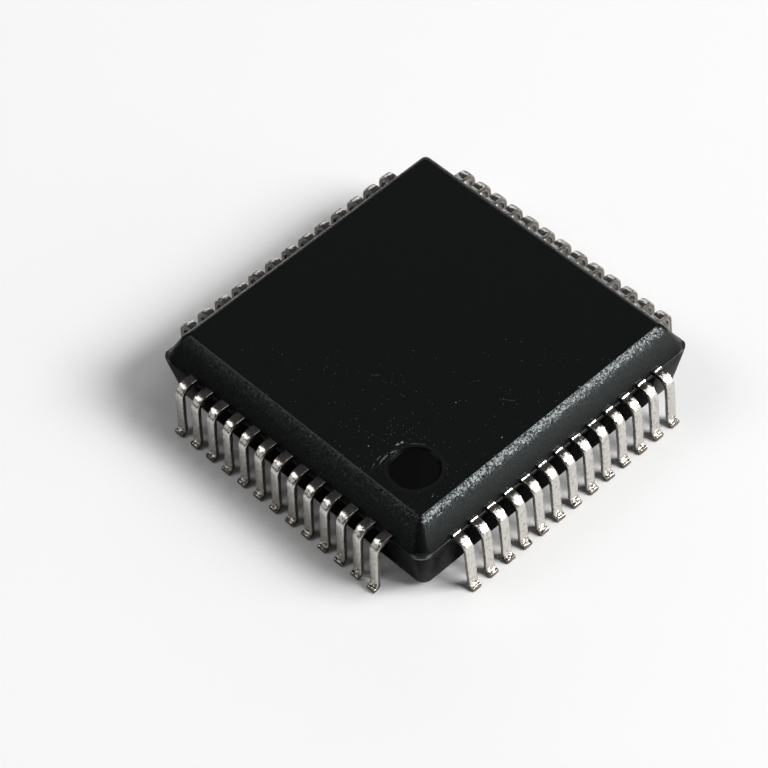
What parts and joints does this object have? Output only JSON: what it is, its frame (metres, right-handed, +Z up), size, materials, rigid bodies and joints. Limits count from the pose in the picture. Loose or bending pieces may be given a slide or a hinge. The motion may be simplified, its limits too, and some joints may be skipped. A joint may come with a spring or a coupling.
{
  "type": "quad flat package integrated circuit",
  "caption": "Square surface-mount integrated circuit: a black moulded body with rows of formed tin-plated leads on all sides and a round index mark by one corner.",
  "frame": {"origin": "on the seating plane under the feet, below the middle of the body", "axes": "+Z up out of the top face; the corner with the index mark and the first lead is towards -X and -Y"},
  "size_m": [0.0118, 0.0118, 0.0027],
  "materials": {
    "mould_compound": "black filled epoxy mould compound, fine moulded grain",
    "tin_plate": "matt tin plate on a stamped and formed copper alloy strip",
    "bare_copper_alloy": "rolled copper alloy strip",
    "filled_epoxy": "cured silver-filled epoxy",
    "silicon": "polished silicon",
    "gold": "drawn gold wire"
  },
  "bodies": {
    "root": {"lead_01": "tin_plate", "lead_02": "tin_plate", "lead_03": "tin_plate", "lead_04": "tin_plate", "lead_05": "tin_plate", "lead_06": "tin_plate", "lead_07": "tin_plate", "lead_08": "tin_plate", "lead_09": "tin_plate", "lead_10": "tin_plate", "lead_11": "tin_plate", "lead_12": "tin_plate", "lead_13": "tin_plate", "lead_14": "tin_plate", "lead_15": "tin_plate", "lead_16": "tin_plate", "lead_17": "tin_plate", "lead_18": "tin_plate", "lead_19": "tin_plate", "lead_20": "tin_plate", "lead_21": "tin_plate", "lead_22": "tin_plate", "lead_23": "tin_plate", "lead_24": "tin_plate", "lead_25": "tin_plate", "lead_26": "tin_plate", "lead_27": "tin_plate", "lead_28": "tin_plate", "lead_29": "tin_plate", "lead_30": "tin_plate", "lead_31": "tin_plate", "lead_32": "tin_plate", "lead_33": "tin_plate", "lead_34": "tin_plate", "lead_35": "tin_plate", "lead_36": "tin_plate", "lead_37": "tin_plate", "lead_38": "tin_plate", "lead_39": "tin_plate", "lead_40": "tin_plate", "lead_41": "tin_plate", "lead_42": "tin_plate", "lead_43": "tin_plate", "lead_44": "tin_plate", "lead_45": "tin_plate", "lead_46": "tin_plate", "lead_47": "tin_plate", "lead_48": "tin_plate", "lead_49": "tin_plate", "lead_50": "tin_plate", "lead_51": "tin_plate", "lead_52": "tin_plate", "mould_body": "mould_compound", "die_pad": "bare_copper_alloy", "die_attach": "filled_epoxy", "die": "silicon", "bond_wires": "gold"}
  },
  "joints": []
}
